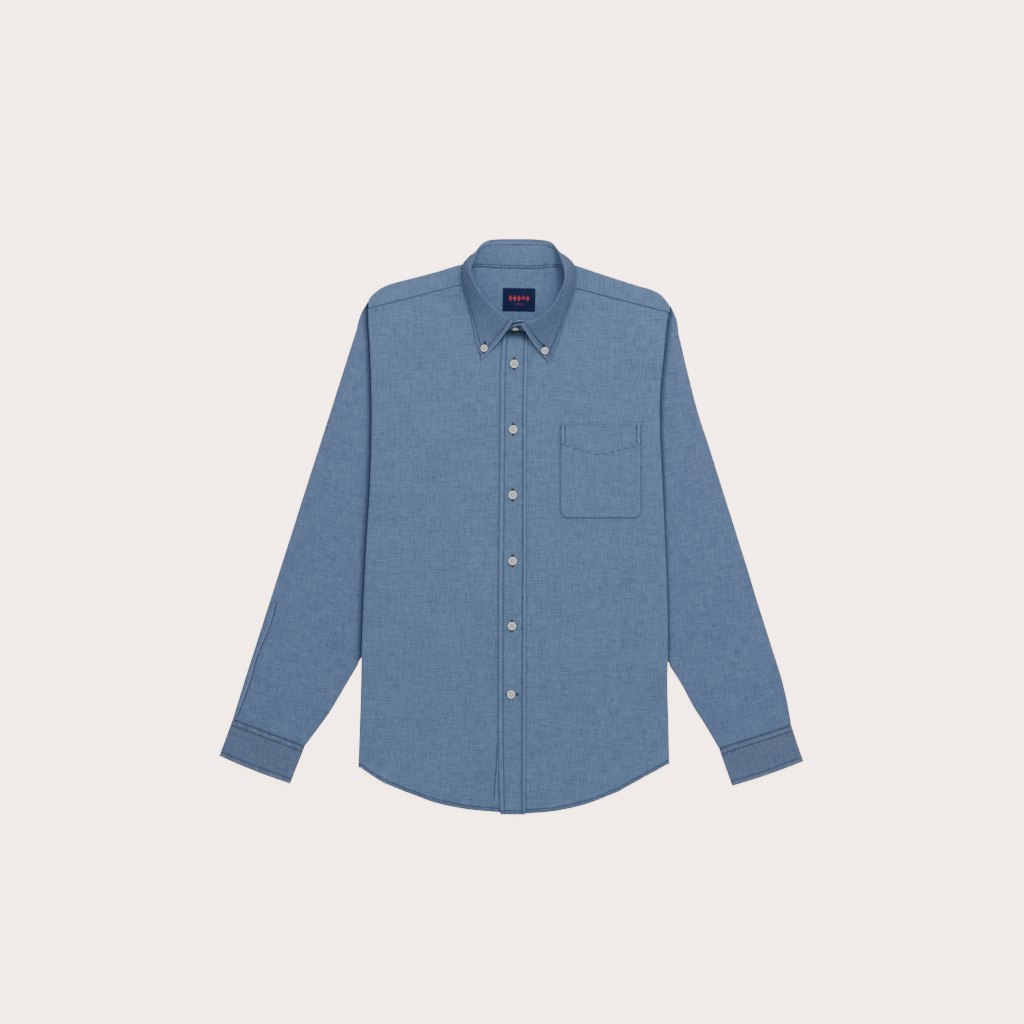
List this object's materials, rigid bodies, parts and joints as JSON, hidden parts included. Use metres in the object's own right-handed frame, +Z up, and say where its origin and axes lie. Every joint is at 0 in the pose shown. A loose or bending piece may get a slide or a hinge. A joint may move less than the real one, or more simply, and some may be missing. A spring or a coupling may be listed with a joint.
{
  "type": "long-sleeved button-down chambray shirt, laid flat",
  "caption": "Long-sleeved chambray shirt with button-down collar, front placket, chest pocket and curved hem, buttoned and laid flat on its back.",
  "frame": {"origin": "on the surface that the shirt lies on, under the middle of its box", "axes": "+Z up from the surface and out of the shirt's front, +Y towards the collar, +X towards the wearer's left sleeve"},
  "size_m": [0.8181, 0.8046, 0.0363],
  "materials": {
    "body_cloth": "matt chambray weave",
    "sleeve_cloth": "matt chambray weave",
    "label_cloth": "woven satin",
    "button": "polished off-white"
  },
  "bodies": {
    "root": {"back": "body_cloth", "yoke": "body_cloth", "front_right": "body_cloth", "front_left": "body_cloth", "placket": "body_cloth", "pocket": "body_cloth", "sleeve_right": "sleeve_cloth", "sleeve_left": "sleeve_cloth", "sleeve_placket_right": "sleeve_cloth", "cuff_right": "sleeve_cloth", "cuff_left": "sleeve_cloth", "collar_stand": "body_cloth", "collar_leaf": "body_cloth", "label": "label_cloth", "button_1": "button", "button_2": "button", "button_3": "button", "button_4": "button", "button_5": "button", "button_6": "button", "button_stand": "button", "button_collar_right": "button", "button_collar_left": "button"}
  },
  "joints": []
}
